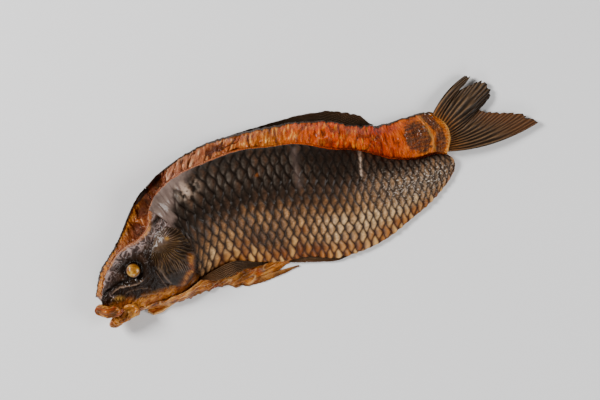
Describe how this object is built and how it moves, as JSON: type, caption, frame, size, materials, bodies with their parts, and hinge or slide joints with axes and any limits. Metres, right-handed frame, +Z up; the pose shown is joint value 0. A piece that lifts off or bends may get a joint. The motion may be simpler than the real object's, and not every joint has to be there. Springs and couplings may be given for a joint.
{
  "type": "smoked fish",
  "caption": "Whole smoked carp split down its back and folded shut, lying on its side with one flap over the other, flesh bared along the back, and its head, fins and tail on.",
  "frame": {"origin": "on the surface that the fish lies on, at the middle of the flat underside of its lower half", "axes": "+X from the mouth to the tail, +Y from the belly to the back, +Z up from the surface"},
  "size_m": [0.4778, 0.1577, 0.0551],
  "materials": {
    "scaled_skin": "scaled, satin, smoked dark on the back and golden on the belly",
    "head_skin": "wrinkled, satin to glossy",
    "cured_flesh": "oily, glossy",
    "amber_skin": "thin and oily, satin",
    "fin_skin": "dry rays and web, satin",
    "eye": "glossy"
  },
  "bodies": {
    "root": {"near_head": "head_skin", "near_eye": "eye", "near_side": "scaled_skin", "near_gill_cover": "head_skin", "far_head": "cured_flesh", "far_eye": "eye", "far_side": "cured_flesh", "throat_and_belly": "amber_skin", "far_gill_cover": "amber_skin", "dorsal_fin": "fin_skin", "anal_fin": "fin_skin", "near_pectoral_fin": "fin_skin", "far_pectoral_fin": "amber_skin", "near_pelvic_fin": "fin_skin", "far_pelvic_fin": "fin_skin", "tail_fin": "fin_skin", "lower_jaw": "amber_skin", "upper_lip": "amber_skin"}
  },
  "joints": []
}
